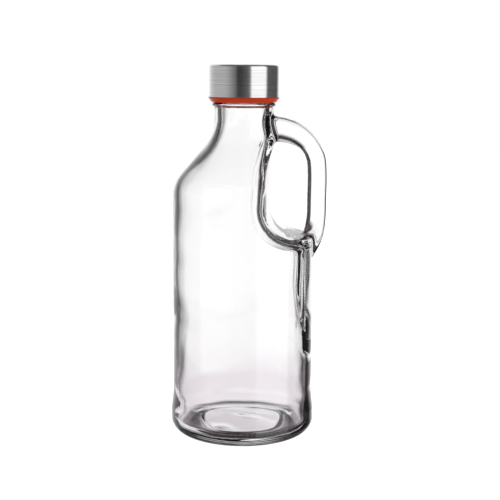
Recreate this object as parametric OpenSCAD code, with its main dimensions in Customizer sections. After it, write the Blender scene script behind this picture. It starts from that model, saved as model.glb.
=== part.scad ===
// Tall glass water jug with a loop handle of solid glass in a recess of its side,
// closed by a screw cap: a brushed steel shell on a moulded insert, with a sealing ring.
// Millimetres, +Z up. Origin: the middle of the ring that the jug stands on.
// The handle is on the +X side. The recess behind it is open through both Y sides.

/* [Body] */
// Outer diameter of the body at its base
base_d = 109.4; // [108.8:0.2:110]
// Outer diameter of the body below the shoulder
body_d = 107.4; // [107:0.2:108]
// Outer diameter of the shallow panel round the body
panel_d = 106.5; // [106:0.1:107]
// Height of the panel's lower edge
panel_low_z = 23; // [20:1:26]
// Height of the panel's upper edge
panel_high_z = 152; // [146:1:156]
// Thickness of the glass wall below the shoulder
wall = 4.2; // [3.8:0.1:4.6]
// Thickness of the floor above the ring that the jug stands on
floor_t = 6.5; // [6:0.5:8]
// Radius between the floor and the wall inside
corner_r = 6; // [5:0.5:8]
// Radius of the outer edge at the base
heel_r = 10; // [8:0.5:11]
// Outer diameter of the hollow under the base
punt_d = 84; // [80:1:86]
// Diameter of the raised disc in that hollow
disc_d = 62; // [56:1:66]
// Depth of the hollow under the base
punt_h = 4; // [3:0.5:5]

/* [Shoulder and neck] */
// Outer diameter of the neck
neck_d = 44.4; // [44:0.2:45]
// Height where the straight side ends and the shoulder starts
shoulder_z = 181.5; // [178:0.5:184]
// Radius of the outward curve at the top of the side
shoulder_r = 28; // [26:0.5:30]
// Radius of the hollow curve below the neck
throat_r = 38; // [36:0.5:40]
// Steepest lean of the shoulder away from upright, in degrees
shoulder_lean = 41; // [40:0.5:43]
// Height of the lip
lip_z = 275.8; // [275:0.1:278]
// Diameter of the mouth
mouth_d = 35; // [34:0.5:36]
// Diameter of the bore in the neck, below the mouth
bore_d = 33.2; // [32.4:0.2:34]
// Thickness of the glass wall at the shoulder
shoulder_wall = 5.4; // [4.6:0.2:6]
// Outer diameter of the threaded finish, without its thread
finish_d = 43.8; // [43.4:0.1:44]
// Top of the bead below the thread
bead_z = 252; // [251.5:0.1:252.2]
// Outer diameter of the bead
bead_d = 47.8; // [47:0.1:48]

/* [Recess] */
// Distance from the axis to the wall of the recess
recess_x = 19.6; // [18.5:0.1:21]
// Height of the floor of the recess
recess_z = 153; // [151:0.5:155]
// Radius between the floor and the wall of the recess
recess_r = 24; // [20:0.5:26]
// Height where the wall of the recess starts to curve out to the neck
recess_bend_z = 198; // [196:0.5:200]
// Radius of that curve
recess_top_r = 80; // [76:1:84]
// Radius of the outward bulge of that wall, seen from above
recess_bulge_r = 240; // [200:10:300]
// Thickness of the glass behind the recess
recess_wall = 4.5; // [4:0.25:5.5]
// Width of the solid rib that runs down inside the wall from the handle
rib_w = 30; // [24:1:34]
// Distance from the axis to the inner face of the rib
rib_x = 39.5; // [39:0.5:42]

/* [Handle] */
// Width of the grip, along Y
grip_w = 17; // [15:0.5:19]
// Thickness of the grip, away from the jug
grip_t = 14.5; // [13:0.5:15]
// Squareness of the grip's outer side, where 2 is round
outside_power = 3.6; // [2:0.2:4]

/* [Closure] */
// Outer diameter of the steel shell
cap_d = 52.4; // [52.2:0.1:52.8]
// Thickness of the steel
steel_t = 0.7; // [0.5:0.1:0.8]
// Radius of the shell's top edge
cap_edge_r = 2; // [1.5:0.1:2.5]
// Height of the shell's lower edge
shell_z = 256.2; // [255.8:0.1:256.4]
// Thickness of the insert's roof
roof_t = 2; // [1.8:0.1:2.2]
// Thickness of the sealing ring
gasket_t = 1.7; // [1.5:0.1:1.8]
// Diameter of the insert's flange below the shell
flange_d = 53.2; // [53:0.1:53.6]
// How far one turn lifts the cap
lead = 8; // [7.8:0.1:8.4]

/* [Hidden] */
$fn = 96;

glass_colour = [0.86, 0.92, 0.91, 0.35];
steel_colour = [0.72, 0.72, 0.72];
insert_colour = [0.85, 0.26, 0.07];
gasket_colour = [0.93, 0.92, 0.90];

base_r = base_d / 2;
body_r = body_d / 2;
neck_r = neck_d / 2;
mouth_r = mouth_d / 2;
bore_r = bore_d / 2;
finish_r = finish_d / 2;
cap_r = cap_d / 2;

// The thread: two starts side by side, with clearance in the insert.
starts = 2;
thread_h = 1.4;
thread_root_w = 2;
thread_crest_w = 1.2;
thread_turns = 0.9;
thread_z = 258.5;
insert_bore_r = finish_r + 1.9;
female_turns = 0.75;
female_z = thread_z - lead / starts / 2;

// Stacked heights in the cap, with a hair of room between the pieces.
room = 0.05;
gasket_z = lip_z + room;
roof_z = gasket_z + gasket_t + room;
cap_z = roof_z + roof_t + room + steel_t;
locator_d = 29;
locator_h = 1;

// Beyond every part of the jug, for cutting shapes.
far = 90;

// Where the recess runs out at the neck, and where the rib ends.
recess_top_z = 229;
rib_end_z = 67;

// Points of an arc about c with radius r, from angle a to angle b.
function arc(c, r, a, b, n = 10) =
    [for (i = [0 : n]) c + r * [cos(a + (b - a) * i / n), sin(a + (b - a) * i / n)]];

// The S-curve from a straight side of radius r1 up to a neck of radius r2, with
// radius big at the shoulder and small at the throat, and a straight lean between.
function lean_length(r1, r2, big, small) =
    (r1 - r2 - (big + small) * (1 - cos(shoulder_lean))) / sin(shoulder_lean);
function s_curve(r1, r2, big, small, z) =
    let (rise = (big + small) * sin(shoulder_lean)
                + lean_length(r1, r2, big, small) * cos(shoulder_lean))
    concat(arc([r1 - big, z], big, 0, shoulder_lean),
           arc([r2 + small, z + rise], small, 180 + shoulder_lean, 180));

// A soft step of the outside from radius r1 to r2, centred on height z.
function step_points(r1, r2, z, half) =
    [for (t = [0 : 0.125 : 1]) [r1 + (r2 - r1) * t * t * (3 - 2 * t), z + half * (2 * t - 1)]];

// The outside of the straight side, from above the heel to the shoulder: a shallow
// panel with a soft step at each end.
function side_points() =
    let (low_half = 5, high_half = 9)
    concat(step_points(base_r, panel_d / 2, panel_low_z, low_half),
           step_points(panel_d / 2, body_r, panel_high_z, high_half));

// A solid of revolution from a list of [radius, height] points.
module turned(points) {
    rotate_extrude() polygon(points);
}

// A plate of the outline points, [x, z], with its width along Y.
module plate(points, width) {
    rotate([90, 0, 0]) translate([0, 0, -width / 2])
        linear_extrude(width) polygon(points);
}

// The outline turned about a far upright axis, so that it bulges outward along Y.
module bulged(points) {
    pivot = recess_bulge_r - recess_x;
    translate([-pivot, 0, 0]) turned([for (p = points) [p[0] + pivot, p[1]]]);
}

// One helical ridge round the axis. side is 1 for a ridge on the outside of
// radius r, and -1 for one on the inside. It fades in and out at its ends.
module ridge(r, side, turns, z, phase) {
    steps = round(turns * 40);
    bite = 0.5;
    fade = 0.12;
    rings = [for (i = [0 : steps])
        let (t = i / steps,
             grow = max(0.08, min(1, t / fade, (1 - t) / fade)),
             a = phase + 360 * turns * t,
             zc = z + lead * turns * t,
             root = r - side * bite,
             crest = r + side * thread_h * grow)
        [for (p = [[root, -thread_root_w / 2], [crest, -thread_crest_w / 2],
                   [crest, thread_crest_w / 2], [root, thread_root_w / 2]])
            [p[0] * cos(a), p[0] * sin(a), zc + p[1]]]];
    loft(rings, side < 0);
}

// A closed polyhedron through rings that all have the same number of points.
module loft(rings, flip = false) {
    n = len(rings[0]);
    last = len(rings) - 1;
    sides = [for (i = [0 : last - 1], j = [0 : n - 1])
        let (a = i * n + j, b = i * n + (j + 1) % n, c = a + n, d = b + n)
        each [[a, b, d], [a, d, c]]];
    ends = [for (j = [1 : n - 2])
        each [[0, j + 1, j], [last * n, last * n + j, last * n + j + 1]]];
    faces = concat(sides, ends);
    polyhedron([for (ring = rings) each ring],
               flip ? [for (f = faces) [f[0], f[2], f[1]]] : faces);
}

module threads(r, side, turns, z) {
    for (s = [0 : starts - 1])
        ridge(r, side, turns, z, 360 * s / starts);
}

// The outline of the recess, moved back into the glass by back.
function recess_outline(back) =
    let (lean = asin((recess_top_z - recess_bend_z) / (recess_top_r + back)))
    concat([[far, recess_z - back]],
           arc([recess_x + recess_r, recess_z + recess_r], recess_r + back, 270, 180),
           arc([recess_x + recess_top_r, recess_bend_z], recess_top_r + back, 180, 180 - lean),
           [[far, recess_top_z]]);

// The outline of the rib that runs down inside the wall. It ends in a rounded toe.
function rib_outline() =
    concat([[far, recess_z], [rib_x, recess_z]],
           [for (p = [[0, 112], [1.2, 102], [3, 93.5], [5.8, 85], [8.6, 78], [11.4, 71.5]])
               [rib_x + p[0], p[1]]],
           [[body_r, rib_end_z], [far, rib_end_z]]);

// The cavity: the inside of the bottle, less the glass behind the recess and
// the rib below the handle.
module cavity() {
    inner_r = body_r - wall;
    floor_mid = punt_h + floor_t - 2;
    even_z = 125;
    bore_top = bead_z - 4;
    mouth_low = bead_z + 4;
    above = lip_z + 1;
    difference() {
        turned(concat([[0, floor_mid]],
                      arc([inner_r - corner_r, floor_t + corner_r], corner_r, 270, 360),
                      [[inner_r, even_z]],
                      s_curve(body_r - shoulder_wall, bore_r, shoulder_r - shoulder_wall,
                              throat_r + neck_r - bore_r, shoulder_z),
                      [[bore_r, bore_top], [mouth_r, mouth_low], [mouth_r, above], [0, above]]));
        bulged(recess_outline(recess_wall));
        plate(rib_outline(), rib_w);
    }
}

// The underside, from the middle out to the ring that the jug stands on.
function under_points() =
    let (disc_r = disc_d / 2, edge = 0.6, step = 2)
    [[0, punt_h], [disc_r - edge, punt_h - edge], [disc_r + edge, punt_h - step],
     [punt_d / 2, 0]];

// The bead below the thread, and the straight finish above it up to the lip.
function finish_points() =
    let (lip_r = 1.5, foot = 2.2, edge = 0.8, blend = 6, tuck = 0.3, bead_r = bead_d / 2)
    concat([[neck_r, bead_z - blend], [finish_r - tuck, bead_z - foot],
            [bead_r, bead_z - edge], [bead_r, bead_z], [finish_r, bead_z]],
           arc([finish_r - lip_r, lip_z - lip_r], lip_r, 0, 90, 6),
           [[0, lip_z]]);

module glass_body() {
    color(glass_colour) {
        difference() {
            turned(concat(under_points(),
                          arc([base_r - heel_r, heel_r], heel_r, 270, 360),
                          side_points(),
                          s_curve(body_r, neck_r, shoulder_r, throat_r, shoulder_z),
                          finish_points()));
            bulged(recess_outline(0));
            cavity();
        }
        threads(finish_r, 1, thread_turns, thread_z);
    }
}

// The spine of the handle in the XZ plane: x, z, thickness, width.
spine = [[20.4, 233, 19, 20], [30, 231.6, 18.5, 17.5], [40, 228.3, 17, 17],
         [49, 221.5, grip_t, grip_w], [54.3, 211.5, grip_t, grip_w],
         [55.6, 199, grip_t, grip_w], [55.5, 181, grip_t, grip_w],
         [55.3, 166, grip_t, grip_w], [53.6, 154, 15, 18.5], [50.2, 143.5, 13, 21]];

// A smooth curve through the list p, at t from 0 to len(p) - 1.
function smooth(p, t) =
    let (last = len(p) - 1, i = min(last - 1, floor(t)), u = t - i,
         a = p[max(0, i - 1)], b = p[i], c = p[i + 1], d = p[min(last, i + 2)])
    0.5 * (2 * b + (c - a) * u + (2 * a - 5 * b + 4 * c - d) * u * u
           + (3 * b - a - 3 * c + d) * u * u * u);

// A point of the grip's cross-section at angle a, in half thicknesses and half
// widths: round on the inside of the handle, squarer on its outside.
function grip_point(a) =
    let (power = cos(a) > 0 ? 2 / outside_power : 1)
    [sign(cos(a)) * pow(abs(cos(a)), power), sign(sin(a)) * pow(abs(sin(a)), power)];

module glass_handle() {
    per_span = 4;
    sides = 24;
    spans = len(spine) - 1;
    ahead = 0.05;
    rings = [for (i = [0 : spans * per_span])
        let (t = i / per_span,
             p = smooth(spine, t),
             run = smooth(spine, min(spans, t + ahead)) - smooth(spine, max(0, t - ahead)),
             along = [run[0], run[1]] / norm([run[0], run[1]]),
             out = [-along[1], along[0]])
        [for (k = [0 : sides - 1])
            let (q = grip_point(360 * k / sides), u = q[0] * p[2] / 2)
            [p[0] + out[0] * u, q[1] * p[3] / 2, p[1] + out[1] * u]]];
    color(glass_colour) loft(rings);
}

module cap_shell() {
    inner_r = cap_r - steel_t;
    edge = cap_edge_r;
    color(steel_colour)
        turned(concat([[inner_r, shell_z], [cap_r, shell_z]],
                      arc([cap_r - edge, cap_z - edge], edge, 0, 90, 6),
                      [[0, cap_z], [0, cap_z - steel_t]],
                      arc([cap_r - edge, cap_z - edge], edge - steel_t, 90, 0, 6)));
}

module cap_insert() {
    outer_r = cap_r - steel_t - room;
    edge = cap_edge_r - steel_t - room;
    top = roof_z + roof_t;
    foot_z = bead_z + 0.4;
    flange_r = flange_d / 2;
    taper = 2.2;
    tuck = 0.3;
    rim_low = shell_z - 1.1;
    rim_mid = shell_z - 0.4;
    color(insert_colour) {
        turned(concat([[insert_bore_r, foot_z], [flange_r - taper, foot_z],
                       [flange_r - tuck, rim_low], [flange_r, rim_mid],
                       [flange_r - tuck, shell_z - room], [outer_r, shell_z - room]],
                      arc([outer_r - edge, top - edge], edge, 0, 90, 6),
                      [[0, top], [0, roof_z - locator_h], [locator_d / 2, roof_z - locator_h],
                       [locator_d / 2, roof_z], [insert_bore_r, roof_z]]));
        threads(insert_bore_r, -1, female_turns, female_z);
    }
}

module cap_gasket() {
    play = 0.3;
    inner_r = locator_d / 2 + play;
    outer_r = insert_bore_r - play;
    color(gasket_colour)
        translate([0, 0, gasket_z]) difference() {
            cylinder(h = gasket_t, r = outer_r);
            translate([0, 0, -1]) cylinder(h = gasket_t + 2, r = inner_r);
        }
}

glass_body();
glass_handle();
cap_shell();
cap_insert();
cap_gasket();
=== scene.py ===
"""Glass water jug with a loop handle and a brushed steel screw cap, on a white studio floor.

Lengths are in millimetres until a mesh is made, and +Z is up. The shapes repeat the CAD
model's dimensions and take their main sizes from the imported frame.
"""
import math

import bmesh
import bpy
import mathutils
import numpy as np
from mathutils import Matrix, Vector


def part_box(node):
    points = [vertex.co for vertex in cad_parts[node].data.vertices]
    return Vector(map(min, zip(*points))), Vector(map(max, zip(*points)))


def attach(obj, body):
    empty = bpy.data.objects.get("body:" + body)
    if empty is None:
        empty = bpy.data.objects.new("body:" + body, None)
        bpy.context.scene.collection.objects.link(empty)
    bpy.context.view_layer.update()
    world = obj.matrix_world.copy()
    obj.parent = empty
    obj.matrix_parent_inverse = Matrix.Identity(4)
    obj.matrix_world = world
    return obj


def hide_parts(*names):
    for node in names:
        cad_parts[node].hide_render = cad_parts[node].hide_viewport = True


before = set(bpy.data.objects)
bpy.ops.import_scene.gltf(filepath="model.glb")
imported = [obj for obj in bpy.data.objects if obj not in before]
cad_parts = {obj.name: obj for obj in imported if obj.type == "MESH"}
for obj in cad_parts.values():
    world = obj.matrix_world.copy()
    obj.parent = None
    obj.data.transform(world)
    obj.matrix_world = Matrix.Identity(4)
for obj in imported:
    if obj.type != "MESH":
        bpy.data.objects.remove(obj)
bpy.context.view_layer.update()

MM = 0.001


def box_mm(node):
    """Lowest and highest corners of a CAD node, in millimetres."""
    low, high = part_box(node)
    return np.array(low) / MM, np.array(high) / MM


# ---------------------------------------------------------------- dimensions
_, glass_high = box_mm("glass_body")
shell_low, shell_high = box_mm("cap_shell")
insert_low, insert_high = box_mm("cap_insert")

BASE_R = glass_high[1]
LIP_Z = glass_high[2]
BODY_R = BASE_R - 1
PANEL_R = 53.25
PANEL_LOW_Z = 23
PANEL_LOW_HALF = 8
PANEL_HIGH_Z = 152
PANEL_HIGH_HALF = 9
WALL = 4.2
WALL_TAPER_Z = 125
FLOOR_T = 6.5
HEEL_R = 10
CORNER_R = 6
PUNT_R = 42
PUNT_EDGE_R = 31
PUNT_H = 4

NECK_R = 22.2
MOUTH_R = 17.5
BORE_IN_NECK_R = 16.6
SHOULDER_WALL = 5.4
FINISH_R = 21.9
LIP_ROUND = 1.5
BEAD_R = 23.9
BEAD_Z = 252
BEAD_ROUND = 1.4
SHOULDER_Z = 181.5
SHOULDER_R = 28
THROAT_R = 38
LEAN = math.radians(41)

RECESS_X = 19.6
RECESS_Z = 153
RECESS_R = 24
RECESS_BEND_Z = 198
RECESS_TOP_R = 80
RECESS_TOP_Z = 229
RECESS_WALL = 4.5
RECESS_BULGE_R = 240
FAR = 90

RIB_X = 39.5
RIB_HALF_W = 15
RIB_END_Z = 67

STARTS = 2
LEAD = 8
THREAD_H = 1.4
THREAD_ROOT_W = 2
THREAD_CREST_W = 1.2
THREAD_TURNS = 0.9
THREAD_Z = 258.5
FEMALE_TURNS = 0.75
FEMALE_Z = THREAD_Z - LEAD / STARTS / 2
THREAD_FADE = 0.12

CAP_R = shell_high[0]
CAP_TOP = shell_high[2]
SHELL_LOW = shell_low[2]
STEEL_T = 0.7
CAP_EDGE_R = 2
ROOM = 0.05
ROOF_T = 2
FLANGE_R = insert_high[0]
FLANGE_TAPER = 2.2
FLANGE_LIP = 0.35
FLANGE_ROUND = 0.45
INSERT_LOW = insert_low[2]
BORE_R = FINISH_R + 1.9
LOCATOR_R = 14.5
# A lathe mesh is closed by a tiny hole on the axis.
AXIS_R = 0.01

# How wide each join in the glass is rounded. The recess is sharper at its top.
RECESS_BLEND = 6
RECESS_TOP_BLEND = 4
BACKING_BLEND = 6
HANDLE_BLEND = 3.5
RIB_BLEND = 10
INSIDE_BLEND = 1

# How square the outer side of the handle's section is: 2 is an ellipse.
OUTSIDE_POWER = 4.6
INSIDE_POWER = 2.0
# The spine of the handle in the XZ plane: x, z, thickness, width.
SPINE = np.array([
    [20.4, 233, 19, 20], [30, 231.6, 18.5, 17.5], [40, 228.3, 17, 17],
    [49, 221.5, 14.5, 17], [54.3, 211.5, 14.5, 17], [55.6, 199, 14.5, 17],
    [55.5, 181, 14.5, 17], [55.3, 166, 14.5, 17], [53.6, 154, 15, 18.5],
    [50.2, 143.5, 13, 21]])


# ---------------------------------------------------------------- outlines
def arc(centre, radius, start, end, step=1.0):
    """Points of an arc, from angle start to angle end in degrees."""
    n = max(3, int(abs(end - start) / step))
    a = np.radians(np.linspace(start, end, n + 1))
    return np.column_stack([centre[0] + radius * np.cos(a), centre[1] + radius * np.sin(a)])


def s_curve(r1, r2, big, small, z):
    """The shoulder and throat, from radius r1 at height z up to radius r2."""
    lean = math.degrees(LEAN)
    length = (r1 - r2 - (big + small) * (1 - math.cos(LEAN))) / math.sin(LEAN)
    rise = (big + small) * math.sin(LEAN) + length * math.cos(LEAN)
    return np.vstack([arc((r1 - big, z), big, 0, lean),
                      arc((r2 + small, z + rise), small, 180 + lean, 180)])


def step_points(r1, r2, z, half):
    """A soft step of the outside from radius r1 to r2, centred on height z."""
    t = np.linspace(0, 1, 9)
    return np.column_stack([r1 + (r2 - r1) * t * t * (3 - 2 * t), z + half * (2 * t - 1)])


def outer_outline():
    """The outside in radius and height, from the punt up to the lip."""
    return np.vstack([
        [[0, PUNT_H], [PUNT_EDGE_R - 0.6, PUNT_H - 0.6], [PUNT_EDGE_R + 0.6, PUNT_H - 2],
         [PUNT_R, 0]],
        arc((BASE_R - HEEL_R, HEEL_R), HEEL_R, 270, 360, 2),
        step_points(BASE_R, PANEL_R, PANEL_LOW_Z, PANEL_LOW_HALF),
        step_points(PANEL_R, BODY_R, PANEL_HIGH_Z, PANEL_HIGH_HALF),
        s_curve(BODY_R, NECK_R, SHOULDER_R, THROAT_R, SHOULDER_Z),
        [[NECK_R, BEAD_Z - 6], [FINISH_R, BEAD_Z - 3]],
        arc((BEAD_R - BEAD_ROUND, BEAD_Z - BEAD_ROUND), BEAD_ROUND, -80, 60, 20),
        [[BEAD_R - 1, BEAD_Z], [FINISH_R, BEAD_Z]],
        arc((FINISH_R - LIP_ROUND, LIP_Z - LIP_ROUND), LIP_ROUND, 0, 90, 10),
        [[0, LIP_Z]]])


def inner_outline():
    """The inside in radius and height, run on past the lip so that the mouth is open."""
    inner_r = BODY_R - WALL
    floor_mid = PUNT_H + FLOOR_T - 2
    past_lip = LIP_Z + 9
    return np.vstack([
        [[0, floor_mid]],
        arc((inner_r - CORNER_R, FLOOR_T + CORNER_R), CORNER_R, 270, 360, 2),
        [[inner_r, WALL_TAPER_Z]],
        s_curve(BODY_R - SHOULDER_WALL, BORE_IN_NECK_R, SHOULDER_R - SHOULDER_WALL,
                THROAT_R + NECK_R - BORE_IN_NECK_R, SHOULDER_Z),
        [[BORE_IN_NECK_R, BEAD_Z - 4], [MOUTH_R, BEAD_Z + 4], [MOUTH_R, past_lip],
         [0, past_lip]]])


def recess_outline(back):
    """The XZ outline of the handle's recess, moved back into the glass by back."""
    lean = math.degrees(math.asin((RECESS_TOP_Z - RECESS_BEND_Z) / (RECESS_TOP_R + back)))
    return np.vstack([
        [[FAR, RECESS_Z - back]],
        arc((RECESS_X + RECESS_R, RECESS_Z + RECESS_R), RECESS_R + back, 270, 180, 3),
        arc((RECESS_X + RECESS_TOP_R, RECESS_BEND_Z), RECESS_TOP_R + back, 180, 180 - lean),
        [[FAR, RECESS_TOP_Z]]])


def rib_outline():
    """The XZ outline of the glass left standing inside, below the recess."""
    return np.array([
        [FAR, RECESS_Z], [RIB_X, RECESS_Z], [RIB_X, 112], [RIB_X + 1.2, 102], [RIB_X + 3, 93.5],
        [RIB_X + 5.8, 85], [RIB_X + 8.6, 78], [RIB_X + 11.4, 71.5],
        [BODY_R, RIB_END_Z], [FAR, RIB_END_Z]])


# ---------------------------------------------------------------- distances
def outline_distance(points, outline):
    """Signed distance of 2-D points to a closed outline, negative inside."""
    best = np.full(len(points), 1e9)
    inside = np.zeros(len(points), bool)
    for a, b in zip(outline, np.roll(outline, -1, axis=0)):
        edge = b - a
        length2 = edge @ edge
        if length2 < 1e-12:
            continue
        rel = points - a
        t = np.clip(rel @ edge / length2, 0, 1)
        off = rel - t[:, None] * edge
        best = np.minimum(best, (off * off).sum(1))
        if a[1] != b[1]:
            spans = (points[:, 1] >= a[1]) != (points[:, 1] >= b[1])
            x = a[0] + (points[:, 1] - a[1]) * edge[0] / edge[1]
            inside ^= spans & (points[:, 0] < x)
    return np.sqrt(best) * np.where(inside, -1, 1)


class Field:
    """An outline's signed distance on a fine 2-D grid, read between its points."""

    def __init__(self, outline, low, high, pitch=0.25):
        self.low, self.pitch = np.array(low, float), pitch
        self.shape = [int((h - l) / pitch) + 2 for l, h in zip(low, high)]
        axes = [l + pitch * np.arange(n) for l, n in zip(low, self.shape)]
        u, v = np.meshgrid(*axes, indexing="ij")
        flat = np.column_stack([u.ravel(), v.ravel()])
        self.values = outline_distance(flat, outline).reshape(u.shape)

    def __call__(self, u, v):
        a = np.clip((u - self.low[0]) / self.pitch, 0, self.shape[0] - 1.001)
        b = np.clip((v - self.low[1]) / self.pitch, 0, self.shape[1] - 1.001)
        i, j = a.astype(int), b.astype(int)
        s, t = a - i, b - j
        g = self.values
        return ((g[i, j] * (1 - s) + g[i + 1, j] * s) * (1 - t)
                + (g[i, j + 1] * (1 - s) + g[i + 1, j + 1] * s) * t)


def blend_min(a, b, k):
    """The lower of two distances, rounded where they are within k of each other."""
    h = np.maximum(k - np.abs(a - b), 0) / k
    return np.minimum(a, b) - h * h * k / 4


def blend_max(a, b, k):
    return -blend_min(-a, -b, k)


def smooth_step(x, low, high):
    t = np.clip((x - low) / (high - low), 0, 1)
    return t * t * (3 - 2 * t)


def spine_points(per_span=8):
    """The handle's spine as a smooth curve through SPINE."""
    last = len(SPINE) - 1
    out = []
    for step in range(last * per_span + 1):
        t = step / per_span
        i = min(last - 1, int(t))
        u = t - i
        a, b, c, d = (SPINE[max(0, min(last, i + k))] for k in (-1, 0, 1, 2))
        out.append(0.5 * (2 * b + (c - a) * u + (2 * a - 5 * b + 4 * c - d) * u * u
                          + (3 * b - a - 3 * c + d) * u ** 3))
    return np.array(out)


def handle_distance(x, y, z, spine):
    """Distance to the handle, round on its inside and squarer on its outside."""
    best = np.full(x.shape, 1e9)
    side = np.ones(x.shape)
    thick = np.ones(x.shape)
    wide = np.ones(x.shape)
    for a, b in zip(spine[:-1], spine[1:]):
        edge = b[:2] - a[:2]
        t = np.clip(((x - a[0]) * edge[0] + (z - a[1]) * edge[1]) / (edge @ edge), 0, 1)
        d2 = (x - a[0] - t * edge[0]) ** 2 + (z - a[1] - t * edge[1]) ** 2
        near = d2 < best
        best = np.where(near, d2, best)
        side = np.where(near, (z - a[1]) * edge[0] - (x - a[0]) * edge[1], side)
        thick = np.where(near, (a[2] + t * (b[2] - a[2])) / 2, thick)
        wide = np.where(near, (a[3] + t * (b[3] - a[3])) / 2, wide)
    u = np.maximum(np.sqrt(best) / thick, 1e-3)
    v = np.maximum(np.abs(y) / wide, 1e-3)
    power = np.where(side > 0, OUTSIDE_POWER, INSIDE_POWER)
    k = (u ** power + v ** power) ** (1 / power)
    slope = k ** (1 - power) * np.hypot(u ** (power - 1) / thick, v ** (power - 1) / wide)
    return (k - 1) / slope


def ridge_height(angle, z, turns, z0):
    """How far the thread's ridges stand out at this angle and height."""
    height = np.zeros(np.shape(z))
    slope = (THREAD_ROOT_W - THREAD_CREST_W) / 2
    for start in range(STARTS):
        turned = (angle / (2 * np.pi) - start / STARTS) % 1
        across = np.abs(z - z0 - LEAD * turned)
        fade = np.clip(np.minimum(turned, turns - turned) / (turns * THREAD_FADE), 0, 1)
        rise = np.clip((THREAD_ROOT_W / 2 - across) / slope, 0, 1)
        height = np.maximum(height, THREAD_H * fade * rise * (turned < turns))
    return height


OUTER = Field(outer_outline(), (0, -6), (76, 292))
INNER = Field(inner_outline(), (0, -6), (76, 292))
RECESS = Field(recess_outline(0), (-12, 120), (76, 260))
BACKING = Field(recess_outline(RECESS_WALL), (-12, 110), (76, 260))
RIB = Field(rib_outline(), (-12, 40), (76, 180))
SPINE_FINE = spine_points()


def glass_distance(x, y, z):
    """Signed distance to the whole fused glass, negative in the glass."""
    r = np.hypot(x, y)
    angle = np.arctan2(y, x)
    solid = OUTER(r, z)
    upper = smooth_step(z, 196, 222)
    pivot = RECESS_BULGE_R - RECESS_X
    bulged = np.hypot(x + pivot, y) - pivot
    recess_blend = RECESS_BLEND + (RECESS_TOP_BLEND - RECESS_BLEND) * upper
    solid = blend_max(solid, -RECESS(bulged, z), recess_blend)
    # The handle's distance is slow to find, so only points near it are asked.
    near = (x > 8) & (z > 128) & (z < 256) & (np.abs(y) < 22)
    if near.any():
        grip = handle_distance(x[near], y[near], z[near], SPINE_FINE)
        solid[near] = blend_min(solid[near], grip, HANDLE_BLEND)
    finish = (z > BEAD_Z) & (r > MOUTH_R + 2)
    solid = solid - np.where(finish, ridge_height(angle, z, THREAD_TURNS, THREAD_Z), 0)
    cavity = INNER(r, z)
    cavity = blend_max(cavity, -BACKING(bulged, z), BACKING_BLEND)
    rib = np.maximum(RIB(x, z), np.abs(y) - RIB_HALF_W)
    cavity = blend_max(cavity, -rib, RIB_BLEND)
    cavity = cavity + ripple(x, y, z, r, angle)
    return blend_max(solid, -cavity, INSIDE_BLEND)


def ripple(x, y, z, r, angle):
    """The slow unevenness of the blown inside."""
    side = smooth_step(z, 20, 40) * (1 - smooth_step(z, 236, 246))
    wave = (0.15 * np.sin(z / 11.3 + 0.8 * np.sin(angle * 2 + 0.4))
            + 0.08 * np.sin(z / 6.1 + 1.3 * np.cos(angle * 3))
            + 0.12 * np.sin(angle * 5 + z / 23))
    floor = 1 - smooth_step(z, 12, 22)
    swirl = (0.17 * np.sin(x / 6.3 + 1.2 * np.sin(y / 9)) + 0.13 * np.sin(y / 5.1 + x / 11))
    return side * wave + floor * swirl


# ---------------------------------------------------------------- meshing
GRID_PITCH = 1.6
GRID_REACH = 59
GRID_PAST_HANDLE = 68
FINE_ABOVE_Z = 246.5
LATHE_SEGMENTS = 192


def surface_net(values, axes):
    """Vertices and quads of the zero surface of values on a rectilinear grid."""
    inside = values < 0
    nx, ny, nz = values.shape
    count = np.zeros((nx - 1, ny - 1, nz - 1), np.int8)
    corners = [(i, j, k) for i in (0, 1) for j in (0, 1) for k in (0, 1)]
    for i, j, k in corners:
        count += inside[i:nx - 1 + i, j:ny - 1 + j, k:nz - 1 + k]
    cells = (count > 0) & (count < 8)
    index = np.full(cells.shape, -1)
    index[cells] = np.arange(cells.sum())
    cell = np.array(np.nonzero(cells))
    total = np.zeros((cell.shape[1], 3))
    hits = np.zeros(cell.shape[1])
    for a in corners:
        for axis in range(3):
            if a[axis]:
                continue
            b = list(a)
            b[axis] = 1
            ia = cell + np.array(a)[:, None]
            ib = cell + np.array(b)[:, None]
            fa, fb = values[tuple(ia)], values[tuple(ib)]
            cross = (fa < 0) != (fb < 0)
            t = np.where(cross, fa / np.where(cross, fa - fb, 1), 0)
            pa = np.column_stack([axes[n][ia[n]] for n in range(3)])
            pb = np.column_stack([axes[n][ib[n]] for n in range(3)])
            total += np.where(cross[:, None], pa + t[:, None] * (pb - pa), 0)
            hits += cross
    quads = []
    for axis in range(3):
        u, v = (axis + 1) % 3, (axis + 2) % 3
        here = [slice(1, n - 1) for n in values.shape]
        here[axis] = slice(0, values.shape[axis] - 1)
        ahead = list(here)
        ahead[axis] = slice(1, values.shape[axis])
        start, end = inside[tuple(here)], inside[tuple(ahead)]
        place = np.array(np.nonzero(start != end))
        out = start[tuple(place)]
        place[u] += 1
        place[v] += 1
        ring = []
        for du, dv in ((1, 1), (0, 1), (0, 0), (1, 0)):
            p = place.copy()
            p[u] -= du
            p[v] -= dv
            ring.append(index[tuple(p)])
        ring = np.array(ring).T
        quads.append(np.where(out[:, None], ring, ring[:, ::-1]))
    return total / hits[:, None], np.vstack(quads)


def gradient(distance, p, h=0.15):
    """Slope of the distance at each point, by differences over h either way."""
    out = np.empty_like(p)
    for n in range(3):
        step = np.zeros(3)
        step[n] = h
        out[:, n] = (distance(*(p + step).T) - distance(*(p - step).T)) / (2 * h)
    return out


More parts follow.
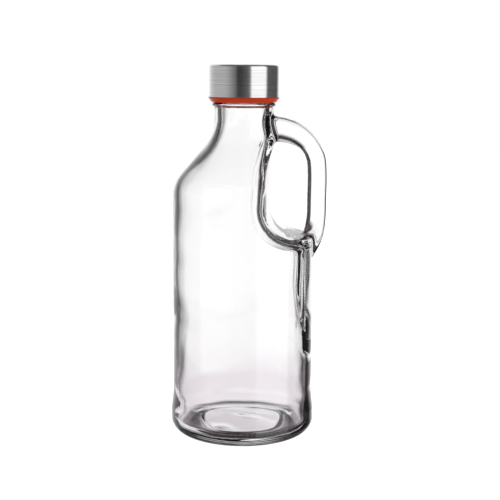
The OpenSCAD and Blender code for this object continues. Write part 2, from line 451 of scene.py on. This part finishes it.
def settle(distance, p, quads, rounds=3, reach=0.7):
    """Evens out the net and pulls it onto the true surface."""
    edges = np.vstack([quads[:, [n, (n + 1) % 4]] for n in range(4)])
    degree = np.bincount(edges.ravel(), minlength=len(p))[:, None]
    for turn in range(rounds):
        if turn < rounds - 1:
            total = np.zeros_like(p)
            for n in range(3):
                total[:, n] = (np.bincount(edges[:, 0], p[edges[:, 1], n], len(p))
                               + np.bincount(edges[:, 1], p[edges[:, 0], n], len(p)))
            move = 0.6 * (total / degree - p)
            g = gradient(distance, p)
            unit = g / np.linalg.norm(g, axis=1, keepdims=True).clip(1e-6)
            p = p + move - (move * unit).sum(1)[:, None] * unit
        p = project(distance, p, 2, reach)
    return p


def project(distance, p, rounds, reach=0.7):
    """Newton steps that bring points onto the zero surface."""
    for _ in range(rounds):
        g = gradient(distance, p)
        step = distance(*p.T)[:, None] * g / (g * g).sum(1)[:, None].clip(1e-6)
        size = np.linalg.norm(step, axis=1, keepdims=True)
        p = p - step * np.minimum(1, reach / size.clip(1e-9))
    return p


def levels(*stretches):
    """Heights that run from one stretch's start to the next, each at its own spacing."""
    out = []
    for (start, pitch), (end, _) in zip(stretches, stretches[1:]):
        n = round((end - start) / pitch)
        out.extend(np.linspace(start, end, n, endpoint=False))
    return np.array(out + [stretches[-1][0]])


def mesh_object(name, points, faces):
    """A smooth-shaded object in the scene, from points in millimetres."""
    mesh = bpy.data.meshes.new(name)
    mesh.from_pydata(np.asarray(points) * MM, [], np.asarray(faces).tolist())
    mesh.validate()
    mesh.polygons.foreach_set("use_smooth", [True] * len(mesh.polygons))
    mesh.update()
    obj = bpy.data.objects.new(name, mesh)
    bpy.context.scene.collection.objects.link(obj)
    return obj


def refine(obj, above):
    """Splits the faces above a height into four, and puts the new points on the surface."""
    mesh = bmesh.new()
    mesh.from_mesh(obj.data)
    edges = [e for e in mesh.edges if min(v.co.z for v in e.verts) > above * MM]
    bmesh.ops.subdivide_edges(mesh, edges=edges, cuts=1, use_grid_fill=True)
    mesh.to_mesh(obj.data)
    mesh.free()
    count = len(obj.data.vertices)
    flat = np.empty(count * 3)
    obj.data.vertices.foreach_get("co", flat)
    points = flat.reshape(-1, 3) / MM
    top = points[:, 2] > above
    points[top] = project(glass_distance, points[top], 3)
    obj.data.vertices.foreach_set("co", (points * MM).ravel())
    obj.data.update()


def make_glass():
    xs = np.arange(-GRID_REACH, GRID_PAST_HANDLE, GRID_PITCH)
    ys = np.arange(-GRID_REACH, GRID_REACH + 1, GRID_PITCH)
    # The base and the finish need closer heights than the plain wall.
    zs = levels((-2.4, 0.95), (17, 3.1), (128, 1.7), (246, 1.0), (LIP_Z + 3, 0))
    grid = np.meshgrid(xs, ys, zs, indexing="ij")
    values = glass_distance(*(g.ravel() for g in grid)).reshape(grid[0].shape)
    points, quads = surface_net(values, (xs, ys, zs))
    points = settle(glass_distance, points, quads)
    glass = mesh_object("jug_glass", points, quads)
    refine(glass, FINE_ABOVE_Z)
    return glass


def make_turned(name, outline, bore=None, bore_r=0.0, segments=LATHE_SEGMENTS):
    """A closed lathe mesh. bore(angle, z) says how far points at radius bore_r move inwards."""
    outline = np.asarray(outline, float)
    a = np.linspace(0, 2 * np.pi, segments, endpoint=False)
    r = np.repeat(outline[:, 0][:, None], segments, 1)
    z = np.repeat(outline[:, 1][:, None], segments, 1)
    if bore is not None:
        r = r - bore(a[None, :], z) * (np.abs(r - bore_r) < 1e-3)
    points = np.stack([r * np.cos(a), r * np.sin(a), z], axis=-1).reshape(-1, 3)
    rows = len(outline)
    i = np.arange(rows)[:, None]
    j = np.arange(segments)[None, :]
    k = (j + 1) % segments
    n = (i + 1) % rows
    quads = np.stack([i * segments + j, i * segments + k, n * segments + k, n * segments + j],
                     axis=-1).reshape(-1, 4)
    return mesh_object(name, points, quads)


# ---------------------------------------------------------------- nodes
class Nodes:
    """Short ways to build a node tree."""

    def __init__(self, tree):
        self.tree = tree
        tree.nodes.clear()

    def add(self, kind, inputs=None, **settings):
        node = self.tree.nodes.new(kind)
        for key, value in settings.items():
            setattr(node, key, value)
        for key, value in (inputs or {}).items():
            self.feed(node.inputs[key], value)
        return node

    def feed(self, socket, value):
        if isinstance(value, bpy.types.NodeSocket):
            self.tree.links.new(value, socket)
        else:
            socket.default_value = value

    def math(self, operation, *values):
        return self.add("ShaderNodeMath", dict(enumerate(values)), operation=operation).outputs[0]

    def radius(self, x, y):
        """Distance from the jug's axis."""
        return self.math("SQRT", self.math("ADD", self.math("MULTIPLY", x, x),
                                           self.math("MULTIPLY", y, y)))

    def ramp(self, value, low, high, to_low=0.0, to_high=1.0):
        """A smooth step of value, from to_low at low to to_high at high."""
        node = self.add("ShaderNodeMapRange", interpolation_type="SMOOTHSTEP")
        for key, item in enumerate((value, low, high, to_low, to_high)):
            self.feed(node.inputs[key], item)
        return node.outputs[0]

    def xyz(self, vector):
        return self.add("ShaderNodeSeparateXYZ", {0: vector}).outputs

    def vector(self, x, y, z):
        return self.add("ShaderNodeCombineXYZ", {0: x, 1: y, 2: z}).outputs[0]

    def multiply(self, a, b):
        """Product of two vectors or colours, part by part."""
        return self.add("ShaderNodeVectorMath", {0: a, 1: b}, operation="MULTIPLY").outputs[0]

    def noise(self, vector, scale, detail=2.0, roughness=0.5):
        return self.add("ShaderNodeTexNoise", {"Vector": vector, "Scale": scale,
                                               "Detail": detail, "Roughness": roughness}).outputs[0]

    def mix(self, factor, a, b):
        node = self.add("ShaderNodeMix", data_type="RGBA")
        for key, item in ((0, factor), (6, a), (7, b)):
            self.feed(node.inputs[key], item)
        return node.outputs[2]

    def bump(self, height, distance, strength=1.0):
        return self.add("ShaderNodeBump", {"Height": height, "Distance": distance,
                                           "Strength": strength}).outputs[0]


def material(name):
    mat = bpy.data.materials.new(name)
    mat.use_nodes = True
    nodes = Nodes(mat.node_tree)
    out = nodes.add("ShaderNodeOutputMaterial")
    shader = nodes.add("ShaderNodeBsdfPrincipled")
    nodes.feed(out.inputs["Surface"], shader.outputs[0])
    return mat, nodes, shader, out


def set_inputs(nodes, shader, **values):
    """Feeds sockets by name, with an underscore for each space."""
    for key, value in values.items():
        nodes.feed(shader.inputs[key.replace("_", " ")], value)


def glass_material():
    mat, nodes, shader, out = material("clear_glass")
    where = nodes.add("ShaderNodeTexCoord").outputs["Object"]
    slow = nodes.noise(where, 38.0, 1.0)
    x, y, z = nodes.xyz(where)
    radius = nodes.radius(x, y)
    # The ring that the jug stands on is rubbed and grey, and is also painted near black as painted
    # contact shade.
    wear_and_contact_shade = nodes.math("MULTIPLY", nodes.ramp(z, 0.0012, 0.0035, 1.0, 0.0),
                        nodes.math("MULTIPLY", nodes.ramp(radius, 0.031, 0.035),
                                   nodes.ramp(radius, 0.044, 0.051, 1.0, 0.0)))
    uneven = nodes.ramp(nodes.noise(where, 55.0, 2.0), 0.3, 0.6, 0.8, 1.0)
    wear_and_contact_shade = nodes.math("MULTIPLY", wear_and_contact_shade, uneven)
    tone = nodes.mix(wear_and_contact_shade, (1, 1, 1, 1), (0.05, 0.04, 0.048, 1))
    set_inputs(nodes, shader, Base_Color=tone, Roughness=0.0, IOR=1.5,
               Transmission_Weight=1.0, Normal=nodes.bump(slow, 0.0006, 0.35))
    inside = nodes.add("ShaderNodeVolumeAbsorption",
                       {"Color": (0.80, 0.87, 0.84, 1), "Density": 2.6})
    nodes.feed(out.inputs["Volume"], inside.outputs[0])
    return mat


def steel_material():
    mat, nodes, shader, _ = material("brushed_steel")
    x, y, z = nodes.xyz(nodes.add("ShaderNodeTexCoord").outputs["Object"])
    radius = nodes.radius(x, y)
    line = nodes.math("MULTIPLY", nodes.math("ADD", z, radius), 64.0)
    # The brushing runs round the side and in rings on the top.
    along = nodes.multiply(nodes.vector(x, y, line), (0.25, 0.25, 1.0))
    brush = nodes.noise(along, 34.0, 4.0, 0.7)
    patch = nodes.noise(nodes.vector(x, y, z), 60.0, 2.0)
    rough = nodes.ramp(nodes.math("ADD", brush, nodes.math("MULTIPLY", patch, 0.3)),
                       0.4, 0.95, 0.16, 0.26)
    tone = nodes.mix(nodes.ramp(brush, 0.3, 0.7), (0.57, 0.56, 0.565, 1), (0.79, 0.78, 0.785, 1))
    tangent = nodes.add("ShaderNodeTangent", direction_type="RADIAL", axis="Z").outputs[0]
    set_inputs(nodes, shader, Base_Color=tone, Metallic=1.0, Roughness=rough,
               Anisotropic=0.9, Anisotropic_Rotation=0.25, Tangent=tangent,
               Normal=nodes.bump(brush, 0.00004, 0.6))
    return mat


def plastic_material():
    mat, nodes, shader, _ = material("orange_plastic")
    where = nodes.add("ShaderNodeTexCoord").outputs["Object"]
    cloud = nodes.noise(where, 90.0, 3.0)
    grain = nodes.noise(where, 2400.0, 2.0)
    tone = nodes.mix(cloud, (0.29, 0.018, 0.002, 1), (0.38, 0.030, 0.004, 1))
    set_inputs(nodes, shader, Base_Color=tone, Roughness=nodes.ramp(grain, 0.2, 0.8, 0.26, 0.36),
               IOR=1.4, Specular_IOR_Level=0.25, Normal=nodes.bump(grain, 0.00003, 0.5))
    return mat


def silicone_material():
    mat, nodes, shader, _ = material("white_silicone")
    where = nodes.add("ShaderNodeTexCoord").outputs["Object"]
    cloud = nodes.noise(where, 140.0, 3.0)
    grain = nodes.noise(where, 1800.0, 2.0)
    tone = nodes.mix(cloud, (0.78, 0.77, 0.74, 1), (0.88, 0.87, 0.85, 1))
    set_inputs(nodes, shader, Base_Color=tone, Roughness=0.55,
               Normal=nodes.bump(grain, 0.00004, 0.5))
    return mat


# ---------------------------------------------------------------- light and camera
def window(nodes, azimuth, elevation, sides, heights):
    """1 inside a window of the studio, falling to 0 over its soft edges. Degrees."""
    left = nodes.ramp(azimuth, sides[0], sides[1])
    right = nodes.ramp(azimuth, sides[2], sides[3], 1.0, 0.0)
    floor = nodes.ramp(elevation, heights[0], heights[1])
    roof = nodes.ramp(elevation, heights[2], heights[3], 1.0, 0.0)
    return nodes.math("MULTIPLY", nodes.math("MULTIPLY", left, right),
                      nodes.math("MULTIPLY", floor, roof))


# Where each window starts, is fully lit, starts to fade and ends: in azimuth from +Y
# towards +X, and in elevation.
GLASS_WINDOWS = [
    ((-31, -9, 26, 31), (-16, -12, 6, 20)),
    ((-17, -9, 9, 17), (-36, -25, -13, -9)),
    ((-78, -69, -21, -12), (-48, -45, -19, -16)),
    ((-123, -114, -66, -57), (-17, -14, 12, 15)),
    ((102, 111, 159, 168), (-31, -28, -3, 0)),
]
# Between the windows the glass sees dark gaps, a little purple, and everything is a
# little purple towards the floor.
GAP_COLOUR = (0.036, 0.026, 0.033, 1)
WINDOW_COLOUR = (1, 1, 1, 1)
HIGH_TINT = (1.07, 1.07, 1.07, 1)
LOW_TINT = (0.90, 0.845, 0.885, 1)
# What shiny surfaces reflect, by degrees from the front, -Y, towards +X: a grey wall on
# the left, a dark gap, a bright panel, a dark flag and a bright back.
REFLECTED_TONES = [
    (-180, 1.2), (-150, 1.0), (-130, 0.72), (-110, 0.6), (-65, 0.58), (-50, 0.46),
    (-40, 0.33), (-30, 0.22), (-25, 0.16), (-22, 0.045), (-8, 0.045), (0, 0.075),
    (10, 0.11), (18, 0.2), (22, 0.26), (25, 1.45), (77, 1.45), (83, 0.12), (100, 0.1),
    (140, 0.09), (153, 0.8), (180, 1.2)]
CEILING_GREY = 0.14
FLOOR_GREY = 0.16
# The plain light on matt surfaces, from the left to the right.
SOFT_LEFT = 0.85
SOFT_RIGHT = 1.95


def grey(level):
    return (level, level, level, 1)


def glass_sees(nodes, azimuth, elevation):
    """The light that reaches the eye through the glass."""
    lit = None
    for sides, heights in GLASS_WINDOWS:
        one = window(nodes, azimuth, elevation, sides, heights)
        lit = one if lit is None else nodes.math("MAXIMUM", lit, one)
    top = nodes.ramp(elevation, 28.0, 42.0, 0.0, 0.6)
    off_floor = nodes.ramp(elevation, -30.0, -20.0)
    left = nodes.math("MULTIPLY", nodes.ramp(azimuth, -62.0, -54.0, 0.45, 0.0), off_floor)
    right = nodes.math("MULTIPLY", nodes.ramp(azimuth, 92.0, 100.0, 0.0, 0.8), off_floor)
    for panel in (top, left, right):
        lit = nodes.math("MAXIMUM", lit, panel)
    level = nodes.mix(lit, GAP_COLOUR, WINDOW_COLOUR)
    low = nodes.ramp(elevation, -18.5, -11.5, 1.0, 0.0)
    return nodes.multiply(level, nodes.mix(low, HIGH_TINT, LOW_TINT))


def shine_sees(nodes, front, elevation):
    """The light that shiny surfaces reflect."""
    tones = nodes.add("ShaderNodeValToRGB")
    nodes.feed(tones.inputs[0], nodes.math("DIVIDE", nodes.math("ADD", front, 180.0), 360.0))
    ramp = tones.color_ramp
    while len(ramp.elements) < len(REFLECTED_TONES):
        ramp.elements.new(0.5)
    for element, (at, tone) in zip(ramp.elements, REFLECTED_TONES):
        element.position = (at + 180) / 360
        element.color = grey(tone)
    overhead = nodes.ramp(elevation, 34.0, 52.0)
    below = nodes.ramp(elevation, -36.0, -22.0, 1.0, 0.0)
    reflected = nodes.mix(overhead, tones.outputs[0], grey(CEILING_GREY))
    return nodes.mix(below, reflected, grey(FLOOR_GREY))


def make_world():
    """A studio that each kind of ray sees as it should: the camera itself sees plain white."""
    world = bpy.data.worlds.new("studio")
    bpy.context.scene.world = world
    world.use_nodes = True
    nodes = Nodes(world.node_tree)
    x, y, z = nodes.xyz(nodes.add("ShaderNodeTexCoord").outputs["Generated"])
    degrees = 180 / math.pi
    azimuth = nodes.math("MULTIPLY", nodes.math("ARCTAN2", x, y), degrees)
    elevation = nodes.math("MULTIPLY", nodes.math("ARCSINE", z), degrees)

    behind = nodes.math("MULTIPLY", y, -1.0)
    front = nodes.math("MULTIPLY", nodes.math("ARCTAN2", x, behind), degrees)
    through = glass_sees(nodes, azimuth, elevation)
    reflected = shine_sees(nodes, front, elevation)

    path = nodes.add("ShaderNodeLightPath").outputs
    soft = nodes.mix(nodes.ramp(front, -70.0, 70.0), grey(SOFT_LEFT), grey(SOFT_RIGHT))
    colour = nodes.mix(path["Is Glossy Ray"], soft, reflected)
    colour = nodes.mix(path["Is Transmission Ray"], colour, through)
    colour = nodes.mix(path["Is Camera Ray"], colour, (1, 1, 1, 1))
    back = nodes.add("ShaderNodeBackground", {"Color": colour, "Strength": 1.0})
    out = nodes.add("ShaderNodeOutputWorld")
    nodes.feed(out.inputs[0], back.outputs[0])


FLOOR_HALF = 3.0
FLOOR_DROP = 0.0002


def make_floor():
    size = FLOOR_HALF
    mesh = bpy.data.meshes.new("floor")
    mesh.from_pydata([(-size, -size, 0), (size, -size, 0), (size, size, 0), (-size, size, 0)],
                     [], [(0, 1, 2, 3)])
    floor = bpy.data.objects.new("floor", mesh)
    bpy.context.scene.collection.objects.link(floor)
    floor.location.z = -FLOOR_DROP
    mat, nodes, shader, _ = material("floor_white")
    set_inputs(nodes, shader, Base_Color=(0.92, 0.92, 0.92, 1), Roughness=1.0,
               Specular_IOR_Level=0.0)
    mesh.materials.append(mat)
    # The floor would fill the foot of the glass, so only matt surfaces and the camera see it.
    floor.visible_transmission = False
    floor.visible_glossy = False


CAMERA_DISTANCE = 0.87
CAMERA_HEIGHT = 0.285
CAMERA_X = 0.0052
CAMERA_TILT = math.radians(8.23)
CAMERA_ROLL = math.radians(0.4)
CAMERA_LENS = 83.07
CAMERA_SHIFT_Y = -0.05


def make_camera():
    data = bpy.data.cameras.new("camera")
    data.lens = CAMERA_LENS
    data.sensor_width = 36
    data.shift_y = CAMERA_SHIFT_Y
    data.clip_start = 0.01
    camera = bpy.data.objects.new("camera", data)
    camera.location = (CAMERA_X, -CAMERA_DISTANCE, CAMERA_HEIGHT)
    camera.rotation_mode = "XYZ"
    tilt = mathutils.Matrix.Rotation(math.pi / 2 - CAMERA_TILT, 4, "X")
    roll = mathutils.Matrix.Rotation(CAMERA_ROLL, 4, "Z")
    camera.rotation_euler = (tilt @ roll).to_euler()
    bpy.context.scene.collection.objects.link(camera)
    bpy.context.scene.camera = camera


# ---------------------------------------------------------------- the cap
def make_shell():
    inner_r, edge, hem = CAP_R - STEEL_T, CAP_EDGE_R, STEEL_T / 2
    return make_turned("cap_steel", np.vstack([
        arc((CAP_R - hem, SHELL_LOW + hem), hem, 180, 360, 30),
        arc((CAP_R - edge, CAP_TOP - edge), edge, 0, 90, 6),
        [[CAP_R - edge - 4, CAP_TOP], [10, CAP_TOP], [AXIS_R, CAP_TOP],
         [AXIS_R, CAP_TOP - STEEL_T], [CAP_R - edge - 2, CAP_TOP - STEEL_T]],
        arc((CAP_R - edge, CAP_TOP - edge), edge - STEEL_T, 90, 0, 12),
        [[inner_r, CAP_TOP - edge - 6]]]))


def make_insert():
    outer_r = CAP_R - STEEL_T - ROOM
    edge = CAP_EDGE_R - STEEL_T - ROOM
    top = CAP_TOP - STEEL_T - ROOM
    roof = top - ROOF_T
    bore = np.column_stack([np.full(90, BORE_R), np.linspace(roof - 0.4, INSERT_LOW + 0.4, 90)])

    def female(angle, z):
        return ridge_height(angle, z, FEMALE_TURNS, FEMALE_Z)

    return make_turned("cap_orange", np.vstack([
        bore,
        [[BORE_R + 0.3, INSERT_LOW]],
        arc((FLANGE_R - FLANGE_TAPER - FLANGE_LIP, INSERT_LOW + FLANGE_LIP),
            FLANGE_LIP, 270, 330, 15),
        [[FLANGE_R - 0.3, SHELL_LOW - 1.1]],
        arc((FLANGE_R - FLANGE_ROUND, SHELL_LOW - 0.55), FLANGE_ROUND, -20, 80, 20),
        [[outer_r, SHELL_LOW - ROOM]],
        arc((outer_r - edge, top - edge), edge, 0, 90, 15),
        [[AXIS_R, top], [AXIS_R, roof - 1], [LOCATOR_R - 0.2, roof - 1],
         [LOCATOR_R, roof - 0.8], [LOCATOR_R, roof], [BORE_R - 0.4, roof]]]),
        bore=female, bore_r=BORE_R)


def wear(obj, mat):
    obj.data.materials.clear()
    obj.data.materials.append(mat)


def main():
    """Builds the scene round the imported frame."""
    make_camera()
    make_world()
    make_floor()
    bpy.context.scene.view_settings.view_transform = "Standard"

    glass = make_glass()
    wear(glass, glass_material())
    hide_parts("glass_body", "glass_handle")
    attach(glass, "bottle")
    glass.visible_diffuse = False

    shell = make_shell()
    wear(shell, steel_material())
    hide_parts("cap_shell")
    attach(shell, "cap")

    insert = make_insert()
    wear(insert, plastic_material())
    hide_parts("cap_insert")
    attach(insert, "cap")

    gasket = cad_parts["cap_gasket"]
    gasket.material_slots[0].material = silicone_material()


main()
